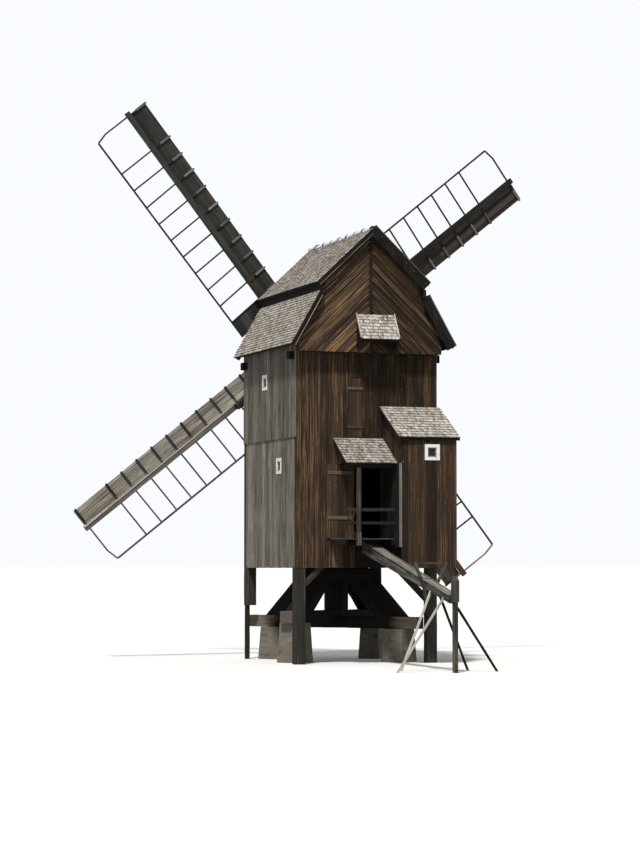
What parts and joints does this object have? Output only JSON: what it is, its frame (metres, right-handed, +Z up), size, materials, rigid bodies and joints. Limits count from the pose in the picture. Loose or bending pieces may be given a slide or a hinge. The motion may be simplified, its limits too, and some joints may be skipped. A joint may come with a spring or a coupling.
{
  "type": "traditional windmill",
  "caption": "Wooden post mill: boarded body with a bent shingled roof on a timber trestle, lattice sails, a lean-to, a roofed gallery and a long tail pole",
  "frame": {"origin": "on the ground in the middle plane, under the rear wall's outer face, which is the middle of the mill's whole outline; the main post's axis is 2.86 m towards -Y", "axes": "+Z up; -Y towards the wind, where the sails are; +Y towards the gallery and the tail pole; +X towards the side with the open door leaf"},
  "size_m": [15.6381, 14.6541, 18.4228],
  "materials": {
    "side_boards": "weathered grey-brown vertical boards, bare",
    "rear_boards": "dark brown stained boards with rusty streaks",
    "shingles": "split wooden shingles weathered to silver grey",
    "trestle_timber": "heavy hewn timber darkened almost to black",
    "prop_timber": "square timber weathered to grey-brown",
    "floor_boards": "worn floor boards",
    "sail_timber": "dark stained timber of the sails",
    "sail_planks": "thin dark boards of the sails",
    "door_planks": "dark vertical door planks on two battens",
    "iron": "forged iron with a dull dark surface",
    "white_paint": "white painted window frames",
    "window_glass": "small panes in front of dark rooms",
    "pier_stone": "rough field stone piers"
  },
  "bodies": {
    "mill": {"barge_boards": "rear_boards", "canopy": "shingles", "canopy_frame": "prop_timber", "corner_props": "prop_timber", "crosstree_long": "trestle_timber", "crosstree_short": "trestle_timber", "crown_tree": "trestle_timber", "door_pintles": "iron", "front_gable": "side_boards", "front_wall": "side_boards", "gable_soffit": "rear_boards", "gallery_floor": "floor_boards", "gallery_joists": "trestle_timber", "hoist_hood": "shingles", "lean_to_floor": "floor_boards", "lean_to_front": "rear_boards", "lean_to_roof": "shingles", "lean_to_sides": "rear_boards", "main_post": "trestle_timber", "meal_floor": "floor_boards", "piers": "pier_stone", "quarterbars": "trestle_timber", "railing": "prop_timber", "rear_gable": "rear_boards", "rear_sill": "rear_boards", "rear_wall_lower": "rear_boards", "rear_wall_upper": "rear_boards", "ridge_cap": "shingles", "roof_lower_left": "shingles", "roof_lower_right": "shingles", "roof_upper_left": "shingles", "roof_upper_right": "shingles", "saddle": "trestle_timber", "shaft_beams": "trestle_timber", "sheers": "trestle_timber", "side_wall_left": "side_boards", "side_wall_right": "side_boards", "stone_floor": "floor_boards", "tail_cover": "prop_timber", "tail_legs": "prop_timber", "tail_pole": "prop_timber", "tail_post": "prop_timber", "tail_yoke": "prop_timber", "tie_beams": "trestle_timber", "upper_door": "rear_boards", "window_casings": "white_paint", "window_panes": "window_glass"},
    "rotor": {"windshaft": "sail_timber", "stocks": "sail_timber", "whips": "sail_timber", "sail_boards": "sail_planks", "sail_lattice_1": "sail_timber", "sail_lattice_2": "sail_timber", "sail_lattice_3": "sail_timber", "sail_lattice_4": "sail_timber"},
    "door": {"door_leaf": "door_planks", "door_straps": "iron"}
  },
  "joints": [
    {"name": "rotor_spin", "type": "hinge", "parent": "mill", "child": "rotor", "pos_m": [0, -6.06, 10.33], "axis": [0, -0.9962, 0.0872], "continuous": true},
    {"name": "door_hinge", "type": "hinge", "parent": "mill", "child": "door", "pos_m": [0.434, 0.018, 5.07], "axis": [0, 0, 1], "range_deg": [0, 180]}
  ]
}
